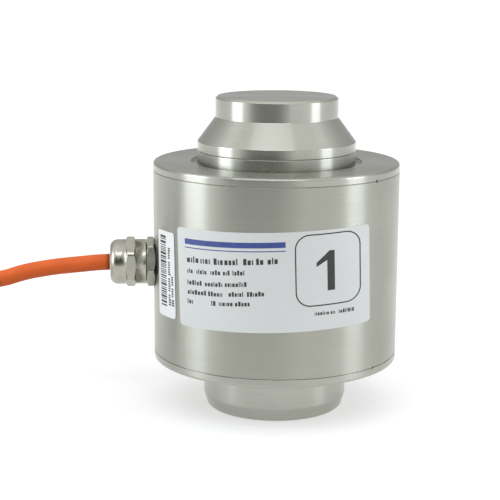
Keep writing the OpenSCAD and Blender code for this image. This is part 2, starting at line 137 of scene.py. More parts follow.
def lathe(name, profile, material, angles=360, closed=True, change=None, place=None):
    # (r cos a, r sin a, z) for each angle a and each (r, z) of the profile, which runs so that its left side
    # is the material: outwards below, up the outer wall. change bends (turn, r, z) first.
    a = np.arange(angles) * 2 * np.pi / angles if np.isscalar(angles) else np.asarray(angles)
    turn, r = np.meshgrid(a, profile[:, 0], indexing="ij")
    z = np.broadcast_to(profile[:, 1], r.shape)
    if change:
        turn, r, z = change(turn, r, z)
    points = np.stack([r * np.cos(turn), r * np.sin(turn), z], -1)
    return gridMesh(name, place(points) if place else points, material, closeV=closed, caps=not closed)


def tube(name, path, radius, sides, material):
    # Rings square to the path: c + radius (cos a * side + sin a * up), side being level
    ahead = np.gradient(path, axis=0)
    ahead /= np.linalg.norm(ahead, axis=1)[:, None]
    side = np.cross(ahead, [0, 0, 1.0])
    side /= np.linalg.norm(side, axis=1)[:, None]
    up = np.cross(side, ahead)
    a = (np.arange(sides) * 2 * np.pi / sides)[::-1, None, None]
    thick = np.broadcast_to(radius, len(path))[None, :, None]
    return gridMesh(name, path + thick * (np.cos(a) * side + np.sin(a) * up), material, caps=True)


def stand(piece, slot, *replaced):  # the piece rides on the one body and stands for its CAD nodes
    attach(piece, "root")
    if replaced:
        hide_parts(*replaced)
    return piece


# Camera

camera = dict(place=(-61.65, -582.15, 187.08), heading=-5.0, down=11.74, roll=0.347, lens=102.9, sensor=36.0)

lens = bpy.data.cameras.new("camera")
lens.lens = camera["lens"]
lens.sensor_width = camera["sensor"]
lens.sensor_fit = "HORIZONTAL"
lens.clip_end = 60
eye = bpy.data.objects.new("camera", lens)
bpy.context.scene.collection.objects.link(eye)
eye.matrix_world = (Matrix.Translation(Vector(camera["place"]) * mm)
                    @ Matrix.Rotation(math.radians(camera["heading"]), 4, "Z")
                    @ Matrix.Rotation(math.radians(90 - camera["down"]), 4, "X")
                    @ Matrix.Rotation(math.radians(camera["roll"]), 4, "Z"))
bpy.context.scene.camera = eye
bpy.context.scene.view_settings.view_transform = "Standard"
print("camera ready")

# Finishes


def turnedSteel(name, colour, rough, spread=0.9, pitch=0.45, relief=0.003, smudge=0.03, cloud=22):
    # Stainless steel, finish-turned on a lathe. The tool leaves fine rings round the axis, so lights draw out
    # along the axis and stay sharp round it, and the surface shows soft bands with thin level lines.
    # The rings' pitch is drawn at 0.4 mm and more, coarser than the real 0.1 mm feed, so that they show.
    material, tree, shader, place = newMaterial(name)
    parts = addNode(tree, "ShaderNodeSeparateXYZ", i0=place)
    level = addNode(tree, "ShaderNodeCombineXYZ", X=parts.outputs[0], Y=parts.outputs[1])
    radius = addNode(tree, "ShaderNodeVectorMath", {"operation": "LENGTH"}, i0=level.outputs[0]).outputs["Value"]
    drift = addNode(tree, "ShaderNodeMath", {"operation": "MULTIPLY"}, i0=parts.outputs[0], i1=0.012).outputs[0]
    alongCut = addNode(tree, "ShaderNodeCombineXYZ", X=radius, Y=parts.outputs[2], Z=drift).outputs[0]
    rings = addNode(tree, "ShaderNodeTexNoise", Vector=alongCut, Scale=0.5 / (pitch * mm), Detail=2.0,
                    Roughness=0.65).outputs["Fac"]
    wear = addNode(tree, "ShaderNodeTexNoise", Vector=place, Scale=1 / (cloud * mm), Detail=5.0,
                   Roughness=0.62).outputs["Fac"]
    base = linear(colour)
    contrast = addNode(tree, "ShaderNodeMapRange", Value=rings, i1=0.35, i2=0.65).outputs[0]
    lines = addNode(tree, "ShaderNodeMix", {"data_type": "RGBA"}, i0=contrast, i6=shade(base, 0.978),
                    i7=shade(base, 1.015)).outputs[2]
    wornContrast = addNode(tree, "ShaderNodeMapRange", Value=wear, i1=0.35, i2=0.7).outputs[0]
    worn = addNode(tree, "ShaderNodeMix", {"data_type": "RGBA", "blend_type": "MULTIPLY"}, i0=wornContrast,
                   i6=lines, i7=(0.965, 0.96, 0.95, 1))
    tree.links.new(worn.outputs[2], shader.inputs["Base Color"])
    roughness = addNode(tree, "ShaderNodeMapRange", Value=wear, i1=0.3, i2=0.7, i3=rough - smudge,
                        i4=rough + smudge).outputs[0]
    tree.links.new(roughness, shader.inputs["Roughness"])
    bump = addNode(tree, "ShaderNodeBump", Strength=0.16, Distance=relief * mm, Height=rings)
    tree.links.new(bump.outputs[0], shader.inputs["Normal"])
    tangent = addNode(tree, "ShaderNodeTangent", {"direction_type": "RADIAL", "axis": "Z"})
    tree.links.new(tangent.outputs[0], shader.inputs["Tangent"])
    shader.inputs["Metallic"].default_value = 1.0
    shader.inputs["Anisotropic"].default_value = spread
    shader.inputs["Anisotropic Rotation"].default_value = 0.25
    return material


def platedMetal(name, colour, rough, grain=0.35, relief=0.006, tone=0.1):
    # Plated brass or steel, tumbled before plating: a soft gloss with fine pits, and a tone that clouds a little
    material, tree, shader, place = newMaterial(name)
    pits = addNode(tree, "ShaderNodeTexNoise", Vector=place, Scale=0.5 / (grain * mm), Detail=3.0).outputs["Fac"]
    clouds = addNode(tree, "ShaderNodeTexNoise", Vector=place, Scale=1 / (4.5 * mm), Detail=4.0).outputs["Fac"]
    base = linear(colour)
    mottle = addNode(tree, "ShaderNodeMapRange", Value=clouds, i1=0.35, i2=0.65).outputs[0]
    clouded = addNode(tree, "ShaderNodeMix", {"data_type": "RGBA"}, i0=mottle, i6=shade(base, 1 - tone),
                      i7=shade(base, 1 + tone / 2))
    tree.links.new(clouded.outputs[2], shader.inputs["Base Color"])
    roughness = addNode(tree, "ShaderNodeMapRange", Value=clouds, i1=0.3, i2=0.7, i3=rough - 0.05,
                        i4=rough + 0.06).outputs[0]
    tree.links.new(roughness, shader.inputs["Roughness"])
    bump = addNode(tree, "ShaderNodeBump", Strength=0.3, Distance=relief * mm, Height=pits)
    tree.links.new(bump.outputs[0], shader.inputs["Normal"])
    shader.inputs["Metallic"].default_value = 1.0
    return material


def moulded(name, colour, rough, grain=0.25, relief=0.01, tone=0.1, cloud=7.0, sheen=0.0):
    # Moulded or extruded plastic and rubber: a fine grain breaks the gloss, and the colour clouds a little
    material, tree, shader, place = newMaterial(name)
    grains = addNode(tree, "ShaderNodeTexNoise", Vector=place, Scale=0.5 / (grain * mm), Detail=2.0).outputs["Fac"]
    clouds = addNode(tree, "ShaderNodeTexNoise", Vector=place, Scale=1 / (cloud * mm), Detail=4.0).outputs["Fac"]
    base = linear(colour)
    mottle = addNode(tree, "ShaderNodeMapRange", Value=clouds, i1=0.35, i2=0.65).outputs[0]
    clouded = addNode(tree, "ShaderNodeMix", {"data_type": "RGBA"}, i0=mottle, i6=shade(base, 1 - tone),
                      i7=shade(base, 1 + tone))
    tree.links.new(clouded.outputs[2], shader.inputs["Base Color"])
    roughness = addNode(tree, "ShaderNodeMapRange", Value=grains, i1=0.3, i2=0.7, i3=rough - 0.06,
                        i4=rough + 0.06).outputs[0]
    tree.links.new(roughness, shader.inputs["Roughness"])
    bump = addNode(tree, "ShaderNodeBump", Strength=0.4, Distance=relief * mm, Height=grains)
    tree.links.new(bump.outputs[0], shader.inputs["Normal"])
    shader.inputs["Sheen Weight"].default_value = sheen
    return material


# All three are one stainless steel. The lid's and the column's base colours are painted lighter than the housing's.
# This painted light brightens their reflections, chiefly on the collar and the foot. Only the roughness, spread and
# rings differ as real finishes.
housingSteel = turnedSteel("fine_turned_stainless_housing", "#A9AAA0", 0.34)
lidSteel = turnedSteel("faced_stainless_lid_painted_lighter", "#ACADA4", 0.28, pitch=0.5)
columnSteel = turnedSteel("finish_turned_stainless_column_painted_lighter", "#B0B1A8", 0.24, spread=0.85, pitch=0.6, relief=0.002)
glandNickel = platedMetal("nickel_plated_brass", "#AEADA1", 0.25)
ringRubber = moulded("black_nitrile_rubber", "#191919", 0.5)
orangeJacket = moulded("orange_polyurethane_jacket", "#DC5E12", 0.58, grain=0.3, tone=0.05, cloud=9)
filmSilver = moulded("silver_polyester_label", "#D9DCDA", 0.32, grain=0.2, relief=0.002, tone=0.02, cloud=30)
filmWhite = moulded("white_polyester_label", "#EEF0EF", 0.36, grain=0.2, relief=0.002, tone=0.015, cloud=20)
printBlack = moulded("black_thermal_print", "#30312F", 0.5, grain=0.3, relief=0.002, tone=0.25, cloud=0.8)
printBlue = moulded("blue_printed_bar", "#3B4C8E", 0.45, grain=0.3, relief=0.002, tone=0.12, cloud=2)
tieWeb = moulded("black_woven_nylon_tie", "#1E1E1F", 0.8, grain=0.5, relief=0.05, tone=0.2, cloud=1.5, sheen=0.3)
print("finishes ready")

# Lead: the free stretch, the stored coil, its ties and its bare ends

lead = dict(
    diameter=6.8, pitch=7.0, rows=4, layers=8, coilD=98.0, floorGap=1.0, shift=0.1875, sides=16, perTurn=48,
    runIn=(-142.6, -17.3), runInAngle=-30.0,
    route=[(-68.95, 0, 61.4), (-75, 0, 61.1), (-79.5, 0, 60.7), (-84, 0, 60.3), (-88.5, 0, 59.9), (-93, 0, 59.4),
           (-97.5, 0, 58.7), (-102, 0, 57.9), (-106.5, 0, 56.8), (-111, 0, 55.4), (-115.5, -0.1, 54.5),
           (-120, -0.8, 53.7), (-125.6, -2.5, 53.3), (-130.9, -5.3, 53.2), (-135.8, -8.9, 53.3),
           (-139.5, -12.8, 53.4)],
)
coilOuter = lead["coilD"] / 2 + (lead["rows"] - 1) / 2 * lead["pitch"]
coilBottom = lead["floorGap"] + lead["diameter"] / 2
coilTop = coilBottom + (lead["layers"] - 1) * lead["pitch"]
startAngle = math.radians(lead["runInAngle"])
coilCentre = np.array(lead["runIn"]) - coilOuter * np.array([math.cos(startAngle), math.sin(startAngle)])


def smoothRoute(points, step=2.2):  # Catmull-Rom curve through the points, without the first and the last
    p = np.array(points, float)
    out = []
    for a, b, c, d in zip(p[:-3], p[1:-2], p[2:-1], p[3:]):
        t = np.arange(0, 1, step / np.linalg.norm(c - b))[:, None]
        out.append(0.5 * (2 * b + (c - a) * t + (2 * a - 5 * b + 4 * c - d) * t ** 2
                          + (3 * b - a - 3 * c + d) * t ** 3))
    return np.vstack(out)


def ease(x):  # 0 before 0 and 1 after 1, half straight and half smooth in between
    x = np.clip(x, 0, 1)
    return 0.5 * (x + x * x * (3 - 2 * x))


def coilPath():
    # The turns lie beside and on each other, from the top down. r moves one pitch in (or out, on every second
    # layer) during the last part of each turn, and z falls one pitch just after a layer's last turn.
    # The angle runs clockwise from where the lead comes in: start - 360 t degrees.
    rows, w = lead["rows"], lead["shift"]
    layerTurns = rows - 2 * w
    last = lead["layers"] * layerTurns
    t = np.linspace(0, last, int(last * lead["perTurn"]) + 1)
    r, z = np.full(len(t), coilOuter), np.full(len(t), coilTop)
    for layer in range(lead["layers"]):
        inwards = 1 if layer % 2 == 0 else -1
        for k in range(rows - 1):
            r = r - inwards * lead["pitch"] * ease((t - (1 - w + layer * layerTurns + k)) / w)
        if layer < lead["layers"] - 1:
            z = z - lead["pitch"] * ease((t - (layer + 1) * layerTurns) / w)
    a = startAngle - 2 * np.pi * t
    return np.stack([coilCentre[0] + r * np.cos(a), coilCentre[1] + r * np.sin(a), z], -1)


wound = coilPath()
route = [2 * np.array(lead["route"][0]) - lead["route"][1]] + lead["route"] + [wound[0], wound[1]]
leadPath = np.vstack([smoothRoute(route), wound])
cable = tube("cable_lead", leadPath, lead["diameter"] / 2, lead["sides"], orangeJacket)
stand(cable, "cable_jacket", "cable", "cable_coil")
cable.visible_glossy = cable.visible_diffuse = False  # the stored coil, out of view, doesn't redden steel and floor

ties = dict(angles=(45, 140, 235), width=8.0, thick=0.9, gap=0.26, round=3.2)


def tieLoop(angle):
    # A strap round the coil's section: a rectangle with round corners, carried along the width of the strap
    # and closed to a flat ring of its thickness
    half = (lead["rows"] - 1) / 2 * lead["pitch"] + lead["diameter"] / 2 + ties["gap"]
    high = (coilTop - coilBottom + lead["diameter"]) / 2
    rings = []
    for grow in (0, ties["thick"]):
        corners = [(s * (half + grow), v * (high + grow), ties["round"] + grow) for s, v in
                   ((-1, -1), (1, -1), (1, 1), (-1, 1))]
        rings.append(roundedProfile(corners, support=1.0))
    inner, outer = rings
    count = min(len(inner), len(outer))
    turn = np.linspace(0, 1, count, endpoint=False)
    inner, outer = (resample(ring, turn) for ring in (inner, outer))
    edge = ties["width"] / 2
    section = [(inner, -edge + 0.1), (inner, edge - 0.1), (inner * 0.5 + outer * 0.5, edge),
               (outer, edge - 0.15), (outer, -edge + 0.15), (inner * 0.5 + outer * 0.5, -edge)]
    points = np.stack([np.column_stack([ring, np.full(count, across)]) for ring, across in section], 1)
    a = math.radians(angle)
    middle = (coilTop + coilBottom) / 2
    r, z, across = lead["coilD"] / 2 + points[..., 0], middle + points[..., 1], points[..., 2]
    return np.stack([coilCentre[0] + r * math.cos(a) - across * math.sin(a),
                     coilCentre[1] + r * math.sin(a) + across * math.cos(a), z], -1)


def resample(ring, turn):  # a closed outline at even shares of its length
    loop = np.vstack([ring, ring[:1]])
    along = np.concatenate([[0], np.cumsum(np.linalg.norm(np.diff(loop, axis=0), axis=1))])
    return np.stack([np.interp(turn * along[-1], along, loop[:, k]) for k in (0, 1)], -1)


for i, angle in enumerate(ties["angles"]):
    strap = gridMesh(f"coil_tie_{i + 1}", tieLoop(angle), tieWeb, closeV=True)
    stand(strap, "tie_fabric", "coil_ties")

bareEnds = dict(length=32.0, diameter=1.3, stripped=5.0, fan=14.0, spacing=1.75,
                colours=("#A8241C", "#1B1B1B", "#1F6B34", "#E4E2DC"))
cores = []
tinned = platedMetal("tinned_copper_strands", "#B9B6AE", 0.35, grain=0.2)
for i, colour in enumerate(bareEnds["colours"]):
    # Each core leaves the jacket's cut end in a bundle and fans out beside the others, down to the coil's foot:
    # r and z ease from the bundle's place to its own
    s = np.linspace(-1.5, bareEnds["length"] - 1.5 * i, 44)
    share = ease(s / bareEnds["fan"])
    turn = math.pi / 4 + math.pi / 2 * i
    r = (coilOuter + 1.2 * math.cos(turn)) * (1 - share) + (coilOuter + bareEnds["spacing"] * (i - 1.5)) * share
    z = (coilBottom + 1.2 * math.sin(turn)) * (1 - share) + (lead["floorGap"] + bareEnds["diameter"] / 2) * share
    a = startAngle - s / coilOuter
    path = np.stack([coilCentre[0] + r * np.cos(a), coilCentre[1] + r * np.sin(a), z], -1)
    cut = np.searchsorted(s, s[-1] - bareEnds["stripped"])
    insulation = moulded(f"pvc_core_insulation_{i + 1}", colour, 0.45, tone=0.06)
    core = tube(f"flying_lead_{i + 1}", path[:cut + 1], bareEnds["diameter"] / 2, 12, insulation)
    tip = tube(f"flying_lead_tip_{i + 1}", path[cut - 1:], 0.32 * bareEnds["diameter"], 10, tinned)
    cores += [stand(core, "lead_insulation", "flying_leads"), stand(tip, "lead_insulation", "flying_leads")]

# Studio: white floor, a sky that is dimmer behind, dark in front and bright at both sides, and three soft boxes

studio = dict(
    floorColour="#C8C8C8", floorGlow=0.5, floorHalf=30.0, floorZ=-0.05, horizon=0.7, overhead=1.15,
    # each part of the sky: azimuth, how straight towards it its fade begins and ends, and its colour
    sky=((82.0, 0.0, 0.75, (0.72, 0.72, 0.72, 1)), (-112.0, 0.7, 0.94, (0.1, 0.097, 0.08, 1)),
         (186.0, 0.82, 1.0, (1.88, 1.96, 2.1, 1)), (-19.0, 0.82, 1.0, (1.645, 1.715, 1.8375, 1))),
    # each soft box: azimuth, elevation, width, height, radiance
    boxes=((186.0, 0.0, 0.5, 0.75, 3.6), (-19.5, 0.0, 0.4, 0.75, 2.8), (-104.0, 52.0, 1.2, 0.2, 3.4)),
    boxDistance=1.2, boxColour=(0.94, 0.98, 1.05), boxAim=0.06,
    # the black cloth: its middle's azimuth, then its half angle at some distances from the part
    flagAt=-112.0, flagZ=1.0, flag=((0.42, 14), (0.6, 27), (1.0, 37), (2.0, 42), (3.0, 38)),
)

half = studio["floorHalf"] / mm
floor = meshOf("floor", np.array([(x * half, y * half, studio["floorZ"]) for x, y in
                                  ((-1, -1), (1, -1), (1, 1), (-1, 1))], float), [(0, 1, 2, 3)], None, smooth=False)
paper, tree, shader, place = newMaterial("white_paper_sweep")
shader.inputs["Base Color"].default_value = linear(studio["floorColour"])
shader.inputs["Roughness"].default_value = 0.9
shader.inputs["Specular IOR Level"].default_value = 0.0
rays = addNode(tree, "ShaderNodeLightPath")
seen = rays.outputs["Is Camera Ray"]
for kind in ("Is Glossy Ray", "Is Transmission Ray"):
    seen = addNode(tree, "ShaderNodeMath", {"operation": "MAXIMUM"}, i0=seen, i1=rays.outputs[kind]).outputs[0]
glow = addNode(tree, "ShaderNodeMath", {"operation": "MULTIPLY"}, i0=seen, i1=studio["floorGlow"]).outputs[0]
shader.inputs["Emission Color"].default_value = (1, 1, 1, 1)
tree.links.new(glow, shader.inputs["Emission Strength"])
floor.data.materials[0] = paper

# A black cloth on the floor before the camera, out of view, darkens the middle of the head's reflections
outline = [(d, -turn) for d, turn in studio["flag"]] + [(d, turn) for d, turn in studio["flag"][::-1]]
corners = [(d / mm * math.cos(math.radians(studio["flagAt"] + turn)),
            d / mm * math.sin(math.radians(studio["flagAt"] + turn)), studio["flagZ"]) for d, turn in outline]
cloth, tree, shader, place = newMaterial("black_studio_cloth")
shader.inputs["Base Color"].default_value = (0.05, 0.05, 0.04, 1)
shader.inputs["Roughness"].default_value = 0.9
flag = meshOf("black_flag", np.array(corners), [tuple(range(len(corners)))], cloth, smooth=False)
flag.visible_camera = flag.visible_shadow = flag.visible_diffuse = False

world = bpy.data.worlds.new("studio_sky")
bpy.context.scene.world = world
world.use_nodes = True
tree = world.node_tree
tree.nodes.clear()
towards = addNode(tree, "ShaderNodeTexCoord").outputs["Generated"]
height = addNode(tree, "ShaderNodeSeparateXYZ", i0=towards).outputs[2]
level = addNode(tree, "ShaderNodeMapRange", {"interpolation_type": "SMOOTHSTEP"}, Value=height, i1=0.05, i2=0.85,
                i3=studio["horizon"], i4=studio["overhead"]).outputs[0]
tint = (1, 1, 1, 1)
for azimuth, begins, full, colour in studio["sky"]:
    way = (math.cos(math.radians(azimuth)), math.sin(math.radians(azimuth)), 0)
    facing = addNode(tree, "ShaderNodeVectorMath", {"operation": "DOT_PRODUCT"}, i0=towards, i1=way).outputs["Value"]
    share = addNode(tree, "ShaderNodeMapRange", {"interpolation_type": "SMOOTHSTEP"}, Value=facing, i1=begins,
                    i2=full).outputs[0]
    tint = addNode(tree, "ShaderNodeMix", {"data_type": "RGBA"}, i0=share, i6=tint, i7=colour).outputs[2]
background = addNode(tree, "ShaderNodeBackground", Color=tint, Strength=level)
addNode(tree, "ShaderNodeOutputWorld", i0=background.outputs[0])

for i, (azimuth, elevation, width, tall, radiance) in enumerate(studio["boxes"]):
    lamp = bpy.data.lights.new(f"soft_box_{i + 1}", "AREA")
    lamp.shape = "RECTANGLE"
    lamp.size, lamp.size_y = width, tall
    lamp.energy = radiance * math.pi * width * tall
    lamp.color = studio["boxColour"]
    holder = bpy.data.objects.new(f"soft_box_{i + 1}", lamp)
    bpy.context.scene.collection.objects.link(holder)
    a, e = math.radians(azimuth), math.radians(elevation)
    way = Vector((math.cos(a) * math.cos(e), math.sin(a) * math.cos(e), math.sin(e)))
    spot = way * studio["boxDistance"] + Vector((0, 0, studio["boxAim"] if elevation else tall / 2))
    holder.matrix_world = Matrix.Translation(spot) @ way.to_track_quat("Z", "Y").to_matrix().to_4x4()
    holder.visible_camera = False
print("studio ready")

# Column: foot, waist with its flats, head with flange, cone and button

shaft = dict(pinR=29.9, bevelW=1.3, bevelH=5.4, footBreak=0.7, seatR=30.3, seatOut=0.8, endReach=8.0, waistR=19.0,
             waistFillet=9.0, flatsW=31.0, flatsH=36.0, spigotR=30.1, flangeR=32.6, flangeH=3.9, coneH=9.9,
             buttonR=25.2, buttonH=8.4, chamfer=0.9, edge=0.3, faceR=5.0)


def boxOf(node):
    low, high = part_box(node)
    return np.array(low) / mm, np.array(high) / mm


shell = dict(r=boxOf("housing_tube")[1][0], z0=boxOf("housing_tube")[0][2], z1=boxOf("housing_tube")[1][2],
             lidT=3.35, wall=6.0, collarH=4.4)
housingBottom, housingTop = shell["z0"] - shell["lidT"], shell["z1"] + shell["lidT"]
lowEnd, highEnd = housingBottom + shaft["endReach"], housingTop - shaft["endReach"]
flangeBottom = housingTop + shell["collarH"]
flangeTop = flangeBottom + shaft["flangeH"]
buttonBottom = flangeTop + shaft["coneH"]
top = buttonBottom + shaft["buttonH"]
footR = shaft["pinR"] - shaft["bevelW"]
seatBottom = housingBottom - shaft["seatOut"]
waistMiddle = (lowEnd + highEnd) / 2
flatEnds = [waistMiddle + side * shaft["flatsH"] / 2 for side in (-1, 1)]
columnProfile = roundedProfile([
    (shaft["faceR"], 0, 0), (footR - shaft["footBreak"], 0, 0.15), (footR, shaft["footBreak"], 0.3),
    (shaft["pinR"], shaft["bevelH"], 0.6),
    (shaft["pinR"], seatBottom, 0.1), (shaft["seatR"], seatBottom, 0.15), (shaft["seatR"], lowEnd, shaft["edge"]),
    (shaft["waistR"], lowEnd, shaft["waistFillet"]), (shaft["waistR"], flatEnds[0] - 0.02, 0),
    (shaft["waistR"], flatEnds[0] + 0.02, 0), (shaft["waistR"], waistMiddle, 0),
    (shaft["waistR"], flatEnds[1] - 0.02, 0), (shaft["waistR"], flatEnds[1] + 0.02, 0),
    (shaft["waistR"], highEnd, shaft["waistFillet"]), (shaft["spigotR"], highEnd, shaft["edge"]),
    (shaft["spigotR"], flangeBottom, 0.1), (shaft["flangeR"], flangeBottom, 0.3), (shaft["flangeR"], flangeTop, 0.45),
    (shaft["buttonR"], buttonBottom, 0.4), (shaft["buttonR"], top - shaft["chamfer"], 0.2),
    (shaft["buttonR"] - shaft["chamfer"], top, 0.2), (shaft["faceR"], top, 0)])


def milledFlats(turn, r, z):  # r = half width / cos(angle from the nearest flat), where that is less
    fold = (turn + np.pi / 4) % (np.pi / 2) - np.pi / 4
    there = (z > flatEnds[0]) & (z < flatEnds[1])
    return turn, np.where(there, np.minimum(r, shaft["flatsW"] / 2 / np.cos(fold)), r), z


column = lathe("sensing_column_turned", columnProfile, columnSteel, closed=False, change=milledFlats)
stand(column, "column_steel", "sensing_column")
print("column ready")

# Lids: rounded rims, flexing grooves, weld pits, and the upper one's collar

lids = dict(rimRound=1.1, seam=0.14, grooveW=2.6, grooveDepth=1.2, registerW=3.0, registerH=3.0, fit=0.05,
            pitAt=-45.0, pitR=0.7, pitDepth=0.9, pitSpan=1.6)


def lidOutline(boreR, collarH):  # from the bore outwards below, up the rim and back over the top, face up at z 0
    t, depth, g, w = shell["lidT"], lids["grooveDepth"], shaft["flangeR"], lids["grooveW"]
    register = shell["r"] - shell["wall"] - lids["fit"]
    corners = [(boreR, -t, 0.1), (g + 2 * w, -t, 0.1), (g + 2 * w, depth - t, 0.2), (g + 3 * w, depth - t, 0.2),
               (g + 3 * w, -t, 0.1), (register - lids["registerW"], -t, 0.1),
               (register - lids["registerW"], -t - lids["registerH"], 0.2), (register, -t - lids["registerH"], 0.3),
               (register, -t, 0.1), (shell["r"] - lids["seam"], -t, 0.06), (shell["r"], lids["seam"] - t, 0.1),
               (shell["r"], 0, lids["rimRound"]), (g + w, 0, 0.25), (g + w, -depth, 0.35), (g, -depth, 0.35),
               (g, collarH, 0.3), (boreR, collarH, 0.1)]
    return roundedProfile(corners)


def rimRows(profile):  # closer rows on the rim, so that the weld's pit comes out round
    out = []
    for p, q in zip(profile, np.roll(profile, -1, axis=0)):
        out.append(p)
        if abs(p[0] - shell["r"]) < 0.01 and abs(q[0] - shell["r"]) < 0.01 and q[1] - p[1] > 1:
            out += [np.array([p[0], z]) for z in np.linspace(p[1], p[1] + 0.8, 8)[1:]]
    return np.array(out)


def weldPit(turn, r, z, seam):
    # Each weld ends in a small round pit on the seam: r loses the pit's depth inside its circle
    across = ((turn - math.radians(lids["pitAt"]) + np.pi) % (2 * np.pi) - np.pi) * shell["r"]
    off = np.hypot(across, z - seam) / lids["pitR"]
    dip = np.sqrt(np.clip(1 - off ** 3, 0, 1))
    return turn, np.where(r > shell["r"] - 0.5, r - lids["pitDepth"] * dip, r), z


pitAngles = np.linspace(-lids["pitSpan"], lids["pitSpan"], 25)
evenAngles = np.arange(360) - 180 + 0.5
lidAngles = np.radians(np.sort(np.concatenate([
    evenAngles[np.abs(evenAngles - lids["pitAt"]) > lids["pitSpan"] + 0.2], lids["pitAt"] + pitAngles])))
upperOutline = rimRows(lidOutline(shaft["spigotR"] + lids["fit"], shell["collarH"])) + [0, housingTop]
upperLid = lathe("upper_lid_faced", upperOutline, lidSteel, angles=lidAngles,
                 change=lambda turn, r, z: weldPit(turn, r, z, shell["z1"]))
stand(upperLid, "upper_lid_steel", "upper_lid")
lowerOutline = rimRows(lidOutline(shaft["seatR"] + lids["fit"], 0))
lowerOutline = (lowerOutline * [1, -1])[::-1] + [0, housingBottom]
lowerLid = lathe("lower_lid_faced", lowerOutline, lidSteel, angles=lidAngles,
                 change=lambda turn, r, z: weldPit(turn, r, z, shell["z0"]))
stand(lowerLid, "lower_lid_steel", "lower_lid")
print("lids ready")

# Gland: body hexagon, sealing ring, cap nut. Their profiles are (r, distance out from the housing's flat).

# collarFlat is the half width across the nut's flats, just proud of the round nose.
gland = dict(seatX=49.3, z=61.4, hexW=18.0, collarFlat=9.38, hexTurn=18.0, hexLow=1.1, hexHigh=4.6, nutLow=4.75,
             skirtHigh=9.15, faceOut=1.01, underHex=8.6,
             noseLow=12.95, noseHigh=19.65, noseRound=3.3, nutR=9.3, mouthR=4.95, boreR=7.65, threadR=7.6,
             wallThreadR=8.0, wallThreadL=5.5, insertLow=7.0, insertHigh=15.45, insertR=6.15, taperL=1.5, taperW=0.7,
             clawOut=2.0, cableBoreR=3.5, ringR=9.4, soft=0.12)


def atGland(points):  # the profile's axis points out of the housing, along -X
    x, y, out = points[..., 0], points[..., 1], points[..., 2]
    return np.stack([-gland["seatX"] - out, y, gland["z"] + x], -1)


def softMin(a, b, k):  # the smaller of two, with the crossing rounded over a width of k
    h = np.clip(0.5 + 0.5 * (b - a) / k, 0, 1)
    return b * (1 - h) + a * h - k * h * (1 - h)


def hexagonOver(low, high, cornerAt, least, apothem=gland["hexW"] / 2):
    # In the rows from low to high, r is the hexagon's, with a corner at the angle cornerAt, softened at its corners,
    # cut by a cone at both ends where the corners are turned off, and never less than the round part under it
    corner = gland["hexW"] / 2 / math.cos(math.pi / 6)
    face = apothem * gland["faceOut"]

    def change(turn, r, z):
        inside = (z > low - 1e-6) & (z < high + 1e-6) & (r > least - 0.4)
        fold = (turn - cornerAt + np.pi / 6) % (np.pi / 3)
        flats = softMin(apothem / np.cos(fold), apothem / np.cos(fold - np.pi / 3), 0.2)
        cone = face + np.minimum(z - low, high - z) / math.tan(math.pi / 6)
        hexagon = softMin(flats, np.minimum(cone, corner + 0.05), gland["soft"])
        return turn, np.where(inside, np.maximum(hexagon, least), r), z

    return change


def hexRows(low, high, r):  # rows that follow the turned-off corners
    ends = np.array([0, 0.06, 0.14, 0.24, 0.34, 0.44, 0.54, 0.64, 0.72, 0.8, 0.9, 1.05])
    return [(r, z, 0) for z in np.concatenate([low + ends, high - ends[::-1]])]


bodyProfile = roundedProfile(
    [(gland["cableBoreR"], -gland["wallThreadL"], 0.2), (gland["wallThreadR"], -gland["wallThreadL"], 0.4),
     (gland["wallThreadR"], gland["hexLow"], 0)] + hexRows(gland["hexLow"], gland["hexHigh"], gland["hexW"] / 2)
    + [(gland["threadR"], gland["hexHigh"], 0), (gland["threadR"], gland["insertHigh"] - gland["clawOut"], 0.3),
       (gland["insertR"], gland["insertHigh"] - gland["clawOut"], 0.2), (gland["insertR"], gland["insertLow"], 0.2),
       (gland["cableBoreR"], gland["insertLow"], 0.2)])
glandBody = lathe(
    "gland_body_hexagon", bodyProfile, glandNickel, angles=240, place=atGland,
    change=hexagonOver(gland["hexLow"], gland["hexHigh"], math.radians(gland["hexTurn"]), gland["underHex"]))
stand(glandBody, "gland_body_nickel", "gland_body")

nutProfile = roundedProfile(
    [(gland["boreR"], gland["nutLow"], 0.2), (gland["nutR"], gland["nutLow"], 0.25),
     (gland["nutR"], gland["skirtHigh"] - 0.05, 0)] + hexRows(gland["skirtHigh"], gland["noseLow"], gland["nutR"])
    + [(gland["nutR"], gland["noseLow"] + 0.05, 0), (gland["nutR"], gland["noseHigh"], gland["noseRound"]),
       (gland["mouthR"], gland["noseHigh"], 0.4), (gland["mouthR"], gland["insertHigh"], 0.1),
       (gland["insertR"] - gland["taperW"], gland["insertHigh"], 0.1),
       (gland["insertR"], gland["insertHigh"] - gland["taperL"], 0.1),
       (gland["boreR"], gland["insertHigh"] - gland["taperL"], 0.1)])
glandNut = lathe("gland_cap_nut", nutProfile, glandNickel, angles=240, place=atGland,
                 change=hexagonOver(gland["skirtHigh"], gland["noseLow"], 0.0, gland["nutR"], gland["collarFlat"]))
stand(glandNut, "gland_nut_nickel", "gland_nut")

ringProfile = roundedProfile([(gland["wallThreadR"] + 0.05, 0, 0.1), (gland["ringR"], 0, 0.54),
                              (gland["ringR"], gland["hexLow"], 0.54),
                              (gland["wallThreadR"] + 0.05, gland["hexLow"], 0.1)])
glandRing = lathe("gland_sealing_ring", ringProfile, ringRubber, angles=120, place=atGland)
stand(glandRing, "gland_ring_rubber", "gland_ring")
print("gland ready")

# Labels: two films on the housing with thin raised print

labelSheet = dict(at=263.04, z=63.0, w=75.4, h=39.5, tilt=1.8, round=1.5, glue=0.05, thick=0.15)
codeSheet = dict(at=204.16, z=60.6, w=14.4, h=35.0, tilt=1.8, round=1.5, glue=0.05, thick=0.15)
printLift, printSink = 0.015, 0.02


